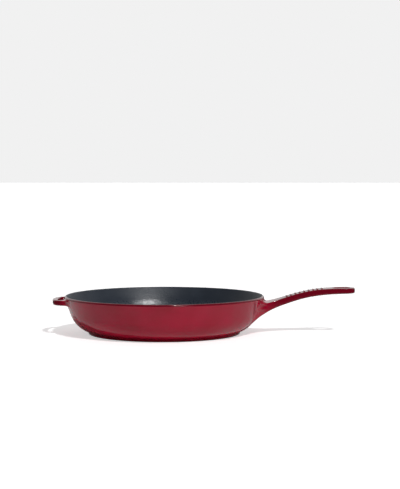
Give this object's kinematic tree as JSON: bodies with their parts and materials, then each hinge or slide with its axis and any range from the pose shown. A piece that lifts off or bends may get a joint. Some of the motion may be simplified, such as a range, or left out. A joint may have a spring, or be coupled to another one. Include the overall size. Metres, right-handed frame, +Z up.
{
  "type": "enamelled cast iron skillet",
  "caption": "Round cast iron skillet with red enamel outside, black satin enamel inside, two pouring lips, a long handle with a hanging slot and a looped helper handle.",
  "frame": {"origin": "centre of the standing ring, on the plane that the pan rests on", "axes": "+Z up, +X along the long handle from the bowl's centre to its tip, +Y towards one of the two pouring lips"},
  "size_m": [0.455, 0.3018, 0.0683],
  "materials": {
    "cast_iron": "as cast, hidden under the enamel",
    "red_enamel": "gloss fired enamel",
    "black_enamel": "satin fired enamel with a fine pebbled texture"
  },
  "bodies": {
    "root": {"iron_bowl": "cast_iron", "iron_handle": "cast_iron", "iron_helper_handle": "cast_iron", "bowl_outside_enamel": "red_enamel", "base_enamel": "red_enamel", "handle_enamel": "red_enamel", "helper_handle_enamel": "red_enamel", "handle_grip_ribs": "red_enamel", "cooking_surface_enamel": "black_enamel", "rim_enamel": "black_enamel"}
  },
  "joints": []
}
